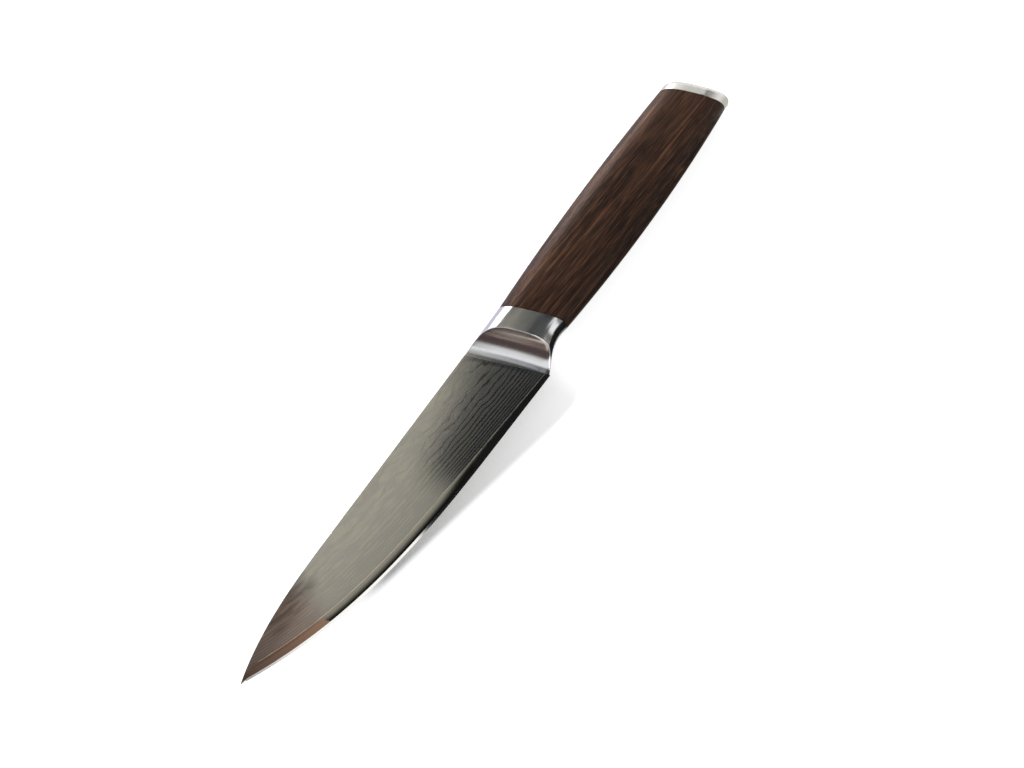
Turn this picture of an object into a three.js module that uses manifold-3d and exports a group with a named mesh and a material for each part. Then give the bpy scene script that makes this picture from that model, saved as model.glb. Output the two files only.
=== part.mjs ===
// Kitchen utility knife, lying on its side: a three-layer blade, a steel bolster with a thumb scoop on each
// face, a tang hidden in a one-piece wooden handle, and a steel end cap.
// Millimetres. +X runs to the tip, +Y to the cutting edge and +Z up, square to the blade.
// Inside the knife, x = 0 is where the handle's axis crosses the joint of the bolster and the wood.

import * as THREE from 'three';
import { mergeVertices } from 'three/addons/utils/BufferGeometryUtils.js';
import Module from 'manifold-3d';

const wasm = await Module();
wasm.setup();

// Joints: those of the wood are cut on one slant, and the front of the bolster leans a little more
const jointSlant = THREE.MathUtils.degToRad(20.6);
const frontSlant = THREE.MathUtils.degToRad(22.2);
const seam = 0.3; // gap between pieces that meet end to end
const clearance = 0.3; // gap round a piece that sits in a pocket
const slotClearance = 0.1; // gap above and below the blade's tongue

// Handle, measured from the axis to its spine side and its belly side
const handleLength = 87;
const spineSideJoint = 10.45;
const spineSideMiddle = 11.6;
const spineSideButt = 10.6;
const bellySideJoint = 9.65;
const bellySideMiddle = 11.2;
const bellySideButt = 9.2;
const ovalThickness = 14.5; // of the oval section before its flanks are ground flat
const flankThickness = 14.2; // across the two flat flanks
const ovalFullness = 2.5; // 2 is an ellipse; more is fuller towards a rectangle

// End cap
const capLength = 5.4;
const capRounding = 1.6;
const capDome = 0.7;

// Bolster
const bolsterLength = 17.7;
const scoopRadius = 8.2;
const scoopLand = 1.5; // flat strip of the bolster, level with the blade, in front of the scoop
const neckStartAngle = THREE.MathUtils.degToRad(-14.7); // of the belly line, where it leaves the wood
const neckEndAngle = THREE.MathUtils.degToRad(22); // of the belly line, where it reaches the heel
const heelStep = 0.3; // the cutting edge stands this far below the bolster's belly

// Blade
const bladeLength = 127.2; // heel to tip, along X
const bladeWidth = 24.65; // spine to edge at the heel
const spineThickness = 2.1; // at the heel
const coreThickness = 0.6;
const coreBandHeel = 1.4; // bare core steel above the edge, at the heel
const coreBandTip = 3.3; // the same, from the middle of the blade on
const coreBandRun = 48; // length over which the band widens
const coreBandShare = 0.7; // most of the blade's width that the band takes at the tip
const edgeBevel = 0.75;
const edgeBevelShare = 0.35; // most of the blade's width that the bevel takes at the tip
const bevelThickness = 0.42; // across the blade where the edge bevel starts
const edgeStraight = 18; // from the heel to where the edge starts to curve
const edgeFall = THREE.MathUtils.degToRad(1.7); // slope of the straight edge
const edgeTipAngle = THREE.MathUtils.degToRad(26.2);
const spineRise = THREE.MathUtils.degToRad(0.28); // the spine leans out this much from the bolster on
const spineCurve = 49; // length of the curved spine behind the tip
const spineTipAngle = THREE.MathUtils.degToRad(17.5);
const tipDrop = 4.7; // from the level of the bolster's spine to the tip

// Tongue of the core in the bolster, and the tang in the handle
const tongueLength = 7;
const tongueWidth = 8;
const tongueInset = 1.6; // from the spine to the tongue
const tangThickness = 3;
const tangWidth = 10;
const tangTailWidth = 7;
const tangSeat = 5; // depth of the tang in the bolster
const studWidth = 4.5;
const studSeat = 2.6; // depth of the tang's stud in the end cap
const bondThickness = 1.2; // between the tang and the bore of the wood

// Fineness of the curved surfaces
const ringPoints = 48;
const handleRings = 14;
const bolsterRings = 10;
const bladeRings = 22;
const roundingRings = 4;
const domeRings = 2;
const scoopSides = 28;
const settleSteps = 40; // repeats that find where two lines cross

const slantSlope = Math.tan(jointSlant);
const frontSlope = Math.tan(frontSlant);
const spineY = -spineSideJoint;
const edgeHeelY = spineY + bladeWidth;
const coreHalf = coreThickness / 2;
const flankHalf = flankThickness / 2;

// A point on a slanted plane that crosses the axis at x
const onJoint = (x, y, z, slope = slantSlope) => new THREE.Vector3(x - slope * y, y, z);

// Where the blade starts on its spine and at its heel, and where it ends
const bladeStartSpine = onJoint(bolsterLength + seam, spineY, 0, frontSlope).x;
const heelX = onJoint(bolsterLength + seam, edgeHeelY, 0, frontSlope).x;
const tipX = heelX + bladeLength;
const tipY = spineY + tipDrop;

// The value at t of the parabola through three values at 0, 0.5 and 1
function bow(t, start, middle, end) {
  const nearStart = start * (1 - t) * (1 - 2 * t);
  const nearMiddle = 4 * middle * t * (1 - t);
  const nearEnd = end * t * (2 * t - 1);
  return nearStart + nearMiddle + nearEnd;
}

// The height of a smooth line between two points that leaves and arrives at given slopes
function sweep(x, from, fromSlope, to, toSlope) {
  const third = (to.x - from.x) / 3;
  const curve = new THREE.CubicBezierCurve(
    from,
    new THREE.Vector2(from.x + third, from.y + third * fromSlope),
    new THREE.Vector2(to.x - third, to.y - third * toSlope),
    to,
  );
  return curve.getPoint((x - from.x) / (to.x - from.x)).y;
}

// A closed skin over rings of points; a ring of one point closes that end as an apex
function loft(rings) {
  const positions = [];
  const faces = [];
  const starts = rings.map((ring) => {
    const start = positions.length / 3;
    ring.forEach((point) => positions.push(point.x, point.y, point.z));
    return start;
  });
  const count = Math.max(...rings.map((ring) => ring.length));
  const index = (k, i) => starts[k] + (rings[k].length === 1 ? 0 : i % count);
  const addFace = (...corners) => {
    if (new Set(corners).size === corners.length) {
      faces.push(...corners);
    }
  };
  for (let k = 0; k + 1 < rings.length; k += 1) {
    for (let i = 0; i < count; i += 1) {
      addFace(index(k, i), index(k, i + 1), index(k + 1, i + 1));
      addFace(index(k, i), index(k + 1, i + 1), index(k + 1, i));
    }
  }
  const last = rings.length - 1;
  for (let i = 1; i + 1 < count; i += 1) {
    addFace(index(0, 0), index(0, i + 1), index(0, i));
    addFace(index(last, 0), index(last, i), index(last, i + 1));
  }
  const geometry = new THREE.BufferGeometry();
  geometry.setAttribute('position', new THREE.Float32BufferAttribute(positions, 3));
  geometry.setIndex(faces);
  return geometry;
}

function solidOf(geometry) {
  const bare = geometry.clone();
  bare.deleteAttribute('normal');
  bare.deleteAttribute('uv');
  const merged = mergeVertices(bare);
  const mesh = new wasm.Mesh({
    numProp: 3,
    vertProperties: new Float32Array(merged.attributes.position.array),
    triVerts: new Uint32Array(merged.index.array),
  });
  return new wasm.Manifold(mesh);
}

function geometryOf(solid) {
  const mesh = solid.getMesh();
  const geometry = new THREE.BufferGeometry();
  geometry.setAttribute('position', new THREE.Float32BufferAttribute(mesh.vertProperties, mesh.numProp));
  geometry.setIndex(new THREE.Uint32BufferAttribute(mesh.triVerts, 1));
  return geometry;
}

// A block between two corners
function block(low, high) {
  const size = new THREE.Vector3().subVectors(high, low);
  const middle = new THREE.Vector3().addVectors(low, high).multiplyScalar(0.5);
  return new THREE.BoxGeometry(size.x, size.y, size.z).translate(middle.x, middle.y, middle.z);
}

// Numbers from first to last in equal steps
function stations(first, last, count) {
  return Array.from({ length: count }, (_, i) => first + ((last - first) * i) / (count - 1));
}

// A sine or cosine drawn out towards the corners of the section
const fuller = (share) => Math.sign(share) * Math.abs(share) ** (2 / ovalFullness);

// One oval section on a slanted plane, with its two flanks ground flat
function ovalRing(x, spineSide, bellySide, inset = 0, slope = slantSlope) {
  const middle = (bellySide - spineSide) / 2;
  const halfWidth = (bellySide + spineSide) / 2 - inset;
  const halfOval = ovalThickness / 2 - inset;
  const halfFlank = flankHalf - inset;
  return Array.from({ length: ringPoints }, (_, i) => {
    const angle = (2 * Math.PI * i) / ringPoints;
    const y = middle + halfWidth * fuller(Math.cos(angle));
    const z = THREE.MathUtils.clamp(halfOval * fuller(Math.sin(angle)), -halfFlank, halfFlank);
    return onJoint(x, y, z, slope);
  });
}

// A section of the handle, which swells in the middle; past the butt it stays the same
function handleRing(x, inset = 0) {
  const t = Math.min(-x / handleLength, 1);
  const spineSide = bow(t, spineSideJoint, spineSideMiddle, spineSideButt);
  const bellySide = bow(t, bellySideJoint, bellySideMiddle, bellySideButt);
  return ovalRing(x, spineSide, bellySide, inset);
}

// The tang with its stud, as a flat bar grown by a margin
function tangBar(margin) {
  const half = tangWidth / 2 + margin;
  const halfTail = tangTailWidth / 2 + margin;
  const halfStud = studWidth / 2 + margin;
  const front = tangSeat + margin;
  const tail = seam - handleLength + slantSlope * (tangTailWidth / 2);
  const end = -handleLength - studSeat - margin;
  const outline = new THREE.Shape();
  outline.moveTo(front, -half);
  outline.lineTo(front, half);
  outline.lineTo(-tangSeat, half);
  outline.lineTo(tail, halfTail);
  outline.lineTo(tail, halfStud);
  outline.lineTo(end, halfStud);
  outline.lineTo(end, -halfStud);
  outline.lineTo(tail, -halfStud);
  outline.lineTo(tail, -halfTail);
  outline.lineTo(-tangSeat, -half);
  const thickness = tangThickness + 2 * margin;
  const bar = new THREE.ExtrudeGeometry(outline, { depth: thickness, bevelEnabled: false });
  return bar.translate(0, 0, -thickness / 2);
}

// The handle's bore and the bond in it are square, and the bond stops short of the slanted ends
const boreHalfWidth = tangWidth / 2 + bondThickness;
const boreHalfHeight = tangThickness / 2 + bondThickness;
const boreReach = slantSlope * boreHalfWidth + seam;

function handleWood() {
  const body = loft(stations(-handleLength, -seam, handleRings).map((x) => handleRing(x)));
  const bore = block(
    new THREE.Vector3(-handleLength - boreReach, -boreHalfWidth, -boreHalfHeight),
    new THREE.Vector3(boreReach, boreHalfWidth, boreHalfHeight),
  );
  return geometryOf(solidOf(body).subtract(solidOf(bore)));
}

function handleBond() {
  const sleeve = block(
    new THREE.Vector3(boreReach - handleLength, clearance - boreHalfWidth, clearance - boreHalfHeight),
    new THREE.Vector3(-boreReach, boreHalfWidth - clearance, boreHalfHeight - clearance),
  );
  return geometryOf(solidOf(sleeve).subtract(solidOf(tangBar(clearance))));
}

// A cap that carries the handle's oval on, rounds over and ends in a low dome
function endCap() {
  const start = -handleLength - seam;
  const end = -handleLength - capLength;
  const rings = [handleRing(start)];
  stations(0, Math.PI / 2, roundingRings + 1).forEach((angle) => {
    const x = end + capRounding * (1 - Math.sin(angle));
    rings.push(handleRing(x, capRounding * (1 - Math.cos(angle))));
  });
  const rim = rings[rings.length - 1];
  const middle = rim.reduce((sum, point) => sum.add(point), new THREE.Vector3()).divideScalar(rim.length);
  for (let i = domeRings; i > 0; i -= 1) {
    const share = i / (domeRings + 1);
    const rise = new THREE.Vector3(-capDome * (1 - share * share), 0, 0);
    rings.push(rim.map((point) => point.clone().lerp(middle, 1 - share).add(rise)));
  }
  rings.push([middle.clone().add(new THREE.Vector3(-capDome, 0, 0))]);
  return geometryOf(solidOf(loft(rings.reverse())).subtract(solidOf(tangBar(clearance))));
}

// How fast half the blade's thickness falls, from the spine down to the bare band of the core
const grindSlope = (spineThickness / 2 - coreHalf) / (bladeWidth - coreBandHeel);

// A bar along the slant that lies on one ground face of the blade and scoops the bolster down to it:
// its section is a strip level with the blade and a quarter round that rises from it
function scoop(side) {
  const passBothSides = (2 * bladeWidth) / Math.cos(frontSlant);
  const drop = -side * Math.atan(grindSlope * Math.cos(frontSlant));
  const front = scoopLand + scoopRadius;
  const top = side * 2 * scoopRadius;
  const turn = (side * Math.PI) / 2;
  const section = new THREE.Shape();
  section.moveTo(front, 0);
  section.lineTo(front, top);
  section.lineTo(-scoopRadius, top);
  section.absarc(0, side * scoopRadius, scoopRadius, Math.PI, Math.PI + turn, side < 0);
  const faceHeight = side * (spineThickness / 2 + grindSlope * spineY);
  const shape = { depth: passBothSides, bevelEnabled: false, curveSegments: scoopSides };
  return new THREE.ExtrudeGeometry(section, shape)
    .translate(0, 0, -passBothSides / 2)
    .rotateX(Math.PI / 2 + drop)
    .rotateZ(frontSlant)
    .translate(bolsterLength - scoopLand, 0, faceHeight);
}

// The tongue of the core, or with margins the slot for it
function tongueBlock(frontX, margin, heightMargin) {
  const top = spineY + tongueInset;
  return block(
    new THREE.Vector3(bolsterLength - tongueLength - margin, top - margin, -coreHalf - heightMargin),
    new THREE.Vector3(frontX, top + tongueWidth + margin, coreHalf + heightMargin),
  );
}

// The bolster carries the oval on from the wood, draws in at the neck and swells to the heel
function bolster() {
  const neckStart = new THREE.Vector2(0, bellySideJoint);
  const neckEnd = new THREE.Vector2(bolsterLength, edgeHeelY - heelStep);
  const rings = stations(0, bolsterLength, bolsterRings).map((x) => {
    const bellySide = sweep(x, neckStart, Math.tan(neckStartAngle), neckEnd, Math.tan(neckEndAngle));
    const slope = THREE.MathUtils.lerp(slantSlope, frontSlope, x / bolsterLength);
    return ovalRing(x, spineSideJoint, bellySide, 0, slope);
  });
  return geometryOf(
    solidOf(loft(rings))
      .subtract(solidOf(scoop(1)))
      .subtract(solidOf(scoop(-1)))
      .subtract(solidOf(tongueBlock(bladeStartSpine, clearance, slotClearance)))
      .subtract(solidOf(tangBar(clearance))),
  );
}

// Outlines of the blade: the height of the spine and of the cutting edge at x
function spineAt(x) {
  const rise = -Math.tan(spineRise);
  const straight = (along) => spineY + rise * Math.max(along - bladeStartSpine, 0);
  const start = new THREE.Vector2(tipX - spineCurve, straight(tipX - spineCurve));
  if (x <= start.x) {
    return straight(x);
  }
  return sweep(x, start, rise, new THREE.Vector2(tipX, tipY), Math.tan(spineTipAngle));
}

function edgeAt(x) {
  const fall = -Math.tan(edgeFall);
  const start = new THREE.Vector2(heelX + edgeStraight, edgeHeelY + fall * edgeStraight);
  if (x <= start.x) {
    return edgeHeelY + fall * (x - heelX);
  }
  return sweep(x, start, fall, new THREE.Vector2(tipX, tipY), -Math.tan(edgeTipAngle));
}

const widthAt = (x) => edgeAt(x) - spineAt(x);

// Height of the bare band of the core above the edge
function coreBandAt(x) {
  const t = THREE.MathUtils.clamp((x - heelX) / coreBandRun, 0, 1);
  return THREE.MathUtils.lerp(coreBandHeel, coreBandTip, t);
}

// Half the thickness of the bare core at a distance from the edge
function coreHalfAt(fromEdge, band) {
  const bevelHalf = bevelThickness / 2;
  if (fromEdge <= edgeBevel) {
    return (bevelHalf * fromEdge) / edgeBevel;
  }
  const t = Math.min((fromEdge - edgeBevel) / (band - edgeBevel), 1);
  return THREE.MathUtils.lerp(bevelHalf, coreHalf, t);
}

// A station across the blade, on the front's slant at the bolster and square to the blade at the tip;
// it gives the point where it crosses a line of the blade
function station(t) {
  const x = THREE.MathUtils.lerp(bolsterLength + seam, tipX, t);
  const slope = frontSlope * (1 - t);
  return (lineAt) => {
    let crossing = x;
    for (let i = 0; i < settleSteps; i += 1) {
      crossing = x - slope * lineAt(crossing);
    }
    return new THREE.Vector2(crossing, lineAt(crossing));
  };
}

// Core: a flat plate between the claddings, ground down to the edge along its bare band
function bladeCore() {
  const rings = stations(0, 1, bladeRings).map((t) => {
    const crossing = station(t);
    const edge = crossing(edgeAt);
    const rim = new THREE.Vector3(edge.x, edge.y, 0);
    if (t === 1) {
      return [rim];
    }
    const bevel = crossing((x) => edgeAt(x) - Math.min(edgeBevel, edgeBevelShare * widthAt(x)));
    const shoulder = crossing((x) => edgeAt(x) - Math.min(coreBandAt(x), coreBandShare * widthAt(x)));
    const upper = [bevel, shoulder, crossing(spineAt)].map((point) => {
      const half = coreHalfAt(edgeAt(point.x) - point.y, coreBandAt(point.x));
      return new THREE.Vector3(point.x, point.y, half);
    });
    const lower = upper.map((point) => new THREE.Vector3(point.x, point.y, -point.z)).reverse();
    return [rim, ...upper, ...lower];
  });
  const tongue = tongueBlock(bladeStartSpine + tongueLength, 0, 0);
  return geometryOf(solidOf(loft(rings)).add(solidOf(tongue)));
}

// The station where the bare band takes up the whole width and the cladding runs out
function claddingEnd() {
  let low = 0;
  let high = 1;
  for (let i = 0; i < settleSteps; i += 1) {
    const middle = (low + high) / 2;
    const { x } = station(middle)(spineAt);
    const isClad = widthAt(x) > coreBandAt(x);
    low = isClad ? middle : low;
    high = isClad ? high : middle;
  }
  return low;
}

// Cladding: a wedge on one face of the core, thickest at the spine and run out at the bare band
function cladding(side) {
  const last = claddingEnd();
  const rings = stations(0, last, bladeRings).map((t) => {
    const crossing = station(t);
    const spine = crossing(spineAt);
    const spineFoot = new THREE.Vector3(spine.x, spine.y, side * coreHalf);
    if (t === last) {
      return [spineFoot];
    }
    const foot = crossing((x) => edgeAt(x) - coreBandAt(x));
    const half = coreHalf + grindSlope * (widthAt(spine.x) - coreBandAt(spine.x));
    const ring = [
      new THREE.Vector3(foot.x, foot.y, side * coreHalf),
      new THREE.Vector3(spine.x, spine.y, side * half),
      spineFoot,
    ];
    return side > 0 ? ring : ring.reverse();
  });
  return loft(rings);
}

function piece(name, geometry, color, roughness, metalness) {
  geometry.computeVertexNormals();
  const material = new THREE.MeshStandardMaterial({ color, roughness, metalness });
  const mesh = new THREE.Mesh(geometry, material);
  mesh.name = name;
  return mesh;
}

const blade = new THREE.Group();
blade.add(
  piece('blade_core', bladeCore(), 0x8f8d86, 0.15, 1),
  piece('cladding_upper', cladding(1), 0x85827a, 0.38, 1),
  piece('cladding_lower', cladding(-1), 0x85827a, 0.38, 1),
);

const handle = new THREE.Group();
handle.add(
  piece('bolster', bolster(), 0xb4b6b8, 0.25, 1),
  piece('tang', tangBar(0), 0x9c9c9a, 0.45, 1),
  piece('handle_bond', handleBond(), 0x2b2119, 0.6, 0),
  piece('handle_wood', handleWood(), 0x3d261a, 0.5, 0),
  piece('end_cap', endCap(), 0xd6d3cc, 0.3, 1),
);

// The knife lies on its lower flank, with the middle of its footprint at the origin
const knife = new THREE.Group();
knife.add(blade, handle);
const box = new THREE.Box3().setFromObject(knife);
const middle = box.getCenter(new THREE.Vector3());
knife.position.set(-middle.x, -middle.y, -box.min.z);

export default knife;
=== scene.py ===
import math

import bpy
import numpy as np
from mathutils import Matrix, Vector


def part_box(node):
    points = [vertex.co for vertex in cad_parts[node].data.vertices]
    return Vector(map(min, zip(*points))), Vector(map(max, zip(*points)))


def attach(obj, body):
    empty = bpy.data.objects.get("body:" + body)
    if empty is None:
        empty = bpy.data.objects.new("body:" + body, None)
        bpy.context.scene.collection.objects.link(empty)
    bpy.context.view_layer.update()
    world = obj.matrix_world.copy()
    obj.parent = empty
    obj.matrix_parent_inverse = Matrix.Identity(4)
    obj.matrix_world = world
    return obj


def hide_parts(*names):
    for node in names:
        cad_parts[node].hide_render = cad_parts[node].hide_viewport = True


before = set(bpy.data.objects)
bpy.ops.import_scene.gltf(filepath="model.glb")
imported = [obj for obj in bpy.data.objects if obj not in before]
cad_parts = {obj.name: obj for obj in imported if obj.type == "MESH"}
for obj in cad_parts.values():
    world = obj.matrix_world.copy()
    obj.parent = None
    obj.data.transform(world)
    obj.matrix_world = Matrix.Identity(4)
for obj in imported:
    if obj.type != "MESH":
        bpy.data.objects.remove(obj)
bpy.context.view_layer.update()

scene = bpy.context.scene
scene.view_settings.view_transform = "Standard"

# Shapes are worked out in millimetres on the knife's own axes: x = 0 where the handle's axis crosses the joint of
# bolster and wood, y towards the cutting edge, z up from the middle of the blade.
joint = {
    "slant": math.tan(math.radians(20.6)),  # slope of the joints of the wood
    "front": math.tan(math.radians(22.2)),  # slope of the bolster's front
    "hairline": 0.05,  # gap left between pieces that meet
    "microBevel": 0.08,  # broken edges at the joints
}
tipX = 139.405
spineY = -10.45
coreLow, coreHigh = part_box("blade_core")
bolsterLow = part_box("bolster")[0]
knifeOrigin = np.array([
    coreHigh.x * 1000 - tipX,
    bolsterLow.y * 1000 - spineY,
    (coreLow.z + coreHigh.z) * 500,
])
uvUnit = 100.0  # millimetres in one unit of the blade's map


def toRow(points):  # knife millimetres to metres in the shared frame
    return (np.asarray(points, float) + knifeOrigin) / 1000


def onJoint(x, y, z, slope=joint["slant"]):  # a point of the slanted plane that crosses the axis at x
    x, y, z = np.broadcast_arrays(x, y, z)
    return np.stack([x - slope * y, y, z], -1)


def bow(t, start, middle, end):  # the parabola through three values at 0, a half and 1
    return start * (1 - t) * (1 - 2 * t) + 4 * middle * t * (1 - t) + end * t * (2 * t - 1)


def sweep(x, x0, y0, slope0, x1, y1, slope1):  # cubic between two points that leaves and arrives at given slopes
    t = (x - x0) / (x1 - x0)
    third = (x1 - x0) / 3
    near = y0 * (1 - t) ** 3 + 3 * (y0 + third * slope0) * t * (1 - t) ** 2
    return near + 3 * (y1 - third * slope1) * t ** 2 * (1 - t) + y1 * t ** 3


def smoothMin(a, b, soft):  # the lesser of two values, as the lower branch of a hyperbola
    return 0.5 * (a + b - np.sqrt((a - b) ** 2 + soft ** 2))


def squarish(angle, halfY, halfZ, fullness):  # superellipse: cosine and sine raised to 2 / fullness
    cosine, sine = np.cos(angle), np.sin(angle)
    y = halfY * np.sign(cosine) * np.abs(cosine) ** (2 / fullness)
    z = halfZ * np.sign(sine) * np.abs(sine) ** (2 / fullness)
    return y, z


def crowdedTurn(count, crowding):  # angles once round, closer together at 0 and at half a turn
    share = np.arange(count) / count
    return 2 * np.pi * share - crowding / 2 * np.sin(4 * np.pi * share)


# A skin over rings of points: ring i, point j is vertex i * points + j, each ring is closed on itself, and a pole
# or a return to the first ring closes the ends.
def loftPiece(name, node, rings, startPole=None, endPole=None, loopRings=False, uv=None, crease=25):
    ringCount, pointCount = rings.shape[:2]
    index = np.arange(ringCount * pointCount).reshape(ringCount, pointCount)
    after = np.roll(index, -1, axis=1)
    if loopRings:
        near, nearAfter = index, after
        far, farAfter = np.roll(index, -1, axis=0), np.roll(after, -1, axis=0)
    else:
        near, nearAfter, far, farAfter = index[:-1], after[:-1], index[1:], after[1:]
    quads = np.stack([near, nearAfter, farAfter, far], -1).reshape(-1, 4)
    points = rings.reshape(-1, 3)
    fans = np.empty((0, 3), int)
    if startPole is not None:
        pole = np.full(pointCount, len(points))
        fans = np.vstack([fans, np.stack([pole, after[0], index[0]], -1)])
        points = np.vstack([points, startPole])
    if endPole is not None:
        pole = np.full(pointCount, len(points))
        fans = np.vstack([fans, np.stack([index[-1], after[-1], pole], -1)])
        points = np.vstack([points, endPole])
    triangles = np.vstack([quads[:, :3], quads[:, [0, 2, 3]], fans])
    a, b, c = (points[triangles[:, k]] for k in range(3))
    if np.sum(a * np.cross(b, c)) < 0:  # turn the faces outwards
        quads, fans = quads[:, ::-1], fans[:, ::-1]
    mesh = bpy.data.meshes.new(name)
    mesh.from_pydata(toRow(points).tolist(), [], quads.tolist() + fans.tolist())
    if uv is not None:
        spread = np.vstack([uv.reshape(-1, 2), np.zeros((len(points) - ringCount * pointCount, 2))])
        if endPole is not None:
            spread[-1] = uv[-1].mean(axis=0)
        corner = np.empty(len(mesh.loops), int)
        mesh.loops.foreach_get("vertex_index", corner)
        mesh.uv_layers.new(name="layers").data.foreach_set("uv", spread[corner].ravel())
    mesh.shade_smooth()
    mesh.set_sharp_from_angle(angle=math.radians(crease))
    mesh.validate()
    piece = bpy.data.objects.new(name, mesh)
    scene.collection.objects.link(piece)
    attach(piece, "root")
    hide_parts(node)
    print(f"{name}: {len(triangles)} triangles")
    return piece


handle = {
    "length": 87.0,
    "spineSide": (10.45, 11.595, 10.6),  # from the axis, at the joint, the middle and the butt
    "bellySide": (9.65, 11.2, 9.2),
    "thickness": 14.5,
    "flank": 14.2,  # across the flattened flanks
    "flankSoftness": 0.1,
    "flankBlend": (0.55, 0.80),  # shares of the flank's height over which it takes hold
    "fullness": 2.5,
    "bore": (6.2, 2.7),
    "boreFullness": 12,
    "points": 192,
    "crowding": 0.3,  # of the points towards spine and belly
    "rings": 120,
}


# Oval section: a superellipse between the spine side and the belly side, whose height is held under the flank
def ovalSection(angle, spineSide, bellySide, inset=0.0):
    halfWidth = (spineSide + bellySide) / 2 - inset
    y, z = squarish(angle, halfWidth, handle["thickness"] / 2 - inset, handle["fullness"])
    held = smoothMin(np.abs(z), handle["flank"] / 2 - inset, handle["flankSoftness"])
    blendStart, blendEnd = handle["flankBlend"]
    blend = np.clip((np.abs(z) / (handle["flank"] / 2) - blendStart) / (blendEnd - blendStart), 0, 1)
    return y + (bellySide - spineSide) / 2, np.sign(z) * (np.abs(z) * (1 - blend) + held * blend)


def handleRing(x, angle, inset=0.0):  # the handle's section x along the axis; past the butt it stays the same
    t = np.minimum(-x / handle["length"], 1)
    y, z = ovalSection(angle, bow(t, *handle["spineSide"]), bow(t, *handle["bellySide"]), inset)
    return onJoint(x, y, z)


# Wood sleeve: the outer oval carried along the axis, then back through the bore
def makeWood():
    angle = crowdedTurn(handle["points"], handle["crowding"])[None, :]
    front, back = -joint["hairline"], -handle["length"] + joint["hairline"]
    bevel = joint["microBevel"]
    along = np.concatenate([[back], np.linspace(back + bevel, front - bevel, handle["rings"]), [front]])[:, None]
    inset = np.zeros_like(along)
    inset[[0, -1]] = bevel
    outside = handleRing(along, angle, inset)
    y, z = squarish(angle, *handle["bore"], handle["boreFullness"])
    inside = onJoint(np.array([[front], [back]]), y, z)
    rings = np.concatenate([outside, inside])
    return loftPiece("grained_handle", "handle_wood", rings, loopRings=True)


cap = {
    "length": 3.5,
    "rounding": 1.2,
    "dome": 1.2,
    "pocket": (2.55, 1.8),  # for the tang's stud
    "pocketDepth": 2.9,
    "sideRings": 8,
    "roundingRings": 18,
    "domeRings": 16,
}


# End cap: stud pocket, flat face, the handle's oval carried on, a quarter round of the rim, then a parabolic dome
def makeCap():
    angle = crowdedTurn(handle["points"], handle["crowding"])[None, :]
    start, end = -handle["length"] - joint["hairline"], -handle["length"] - cap["length"]
    y, z = squarish(angle, *cap["pocket"], handle["boreFullness"])
    floor = np.stack([np.full_like(y, -handle["length"] - cap["pocketDepth"]), y, z], -1)
    mouth = onJoint(np.array([[start]]), y, z)
    bevel = joint["microBevel"]
    turn = np.linspace(0, np.pi / 2, cap["roundingRings"])[:, None]
    roundX = end + cap["rounding"] * (1 - np.sin(turn))
    sideX = np.linspace(start - bevel, roundX[0, 0], cap["sideRings"])[:-1, None]
    outside = np.concatenate([
        handleRing(np.array([[start]]), angle, bevel),
        handleRing(sideX, angle),
        handleRing(roundX, angle, cap["rounding"] * (1 - np.cos(turn))),
    ])
    rim = outside[-1]
    middle = rim.mean(axis=0)
    share = np.linspace(1, 0, cap["domeRings"] + 1)[1:-1, None, None]
    dome = middle + (rim[None] - middle) * share
    dome[..., 0] -= cap["dome"] * (1 - share[..., 0] ** 2)
    rings = np.concatenate([floor, mouth, outside, dome])
    startPole = np.array([floor[0, 0, 0], 0, 0])
    endPole = middle - [cap["dome"], 0, 0]
    return loftPiece("rounded_cap", "end_cap", rings, startPole, endPole)


blade = {
    "heelX": 12.205,
    "width": 24.65,
    "spineThickness": 2.1,
    "core": 0.6,  # thickness of the middle layer
    "bandHeel": 1.4,  # bare core above the edge, at the heel and from the middle on
    "bandTip": 3.3,
    "bandRun": 48.0,
    "bandShare": 0.7,
    "bandSlope": 0.115,  # slope that the bare band reaches at its bevel
    "bevel": 0.75,
    "bevelShare": 0.35,
    "bevelThickness": 0.42,
    "edgeHalf": 0.012,  # half of the edge's own thickness
    "tipThinning": 30.0,  # the core thins out over the last thirtieth
    "straight": 18.0,
    "fall": math.tan(math.radians(1.7)),
    "edgeTipSlope": math.tan(math.radians(26.2)),
    "spineStart": 22.265,
    "spineRise": math.tan(math.radians(0.28)),  # the spine leans out from the bolster on
    "spineCurve": 49.0,
    "spineTipSlope": math.tan(math.radians(17.5)),
    "tipDrop": 4.7,
    "spineRounding": 0.12,
    "roundingShares": (0.6, 0.4),  # it takes at most these shares of the face's height and width
    "noseBack": 1.7,  # the layered face ends this far before its wedge would run out
    "noseLength": 3.2,
    "noseShare": 0.035,  # share of the stations that its rings take
    "noseSearch": (12.0, 4001),  # millimetres before the tip and steps in which its end is looked for
    "noseRounds": 60,
    "lineRounds": 40,  # rounds in which a station settles on a line
    "start": 17.75,  # where the blade meets the bolster
    "rings": 150,
    "ringCrowding": 1.25,  # towards the tip
    "noseRings": 40,
    "facePoints": 40,
    "bevelPoints": 4,
    "bandPoints": 15,
    "flatPoints": 10,
    "cornerPoints": 7,
}
edgeHeelY = spineY + blade["width"]
tipY = spineY + blade["tipDrop"]
coreHalf = blade["core"] / 2
grindSlope = (blade["spineThickness"] / 2 - coreHalf) / (blade["width"] - blade["bandHeel"])


def spineAt(x):  # a straight line that leans out a little, then a cubic down to the tip
    rise, start = blade["spineRise"], tipX - blade["spineCurve"]
    straight = spineY - rise * np.maximum(x - blade["spineStart"], 0)
    startY = spineY - rise * (start - blade["spineStart"])
    curve = sweep(x, start, startY, -rise, tipX, tipY, blade["spineTipSlope"])
    return np.where(x <= start, straight, curve)


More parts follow.
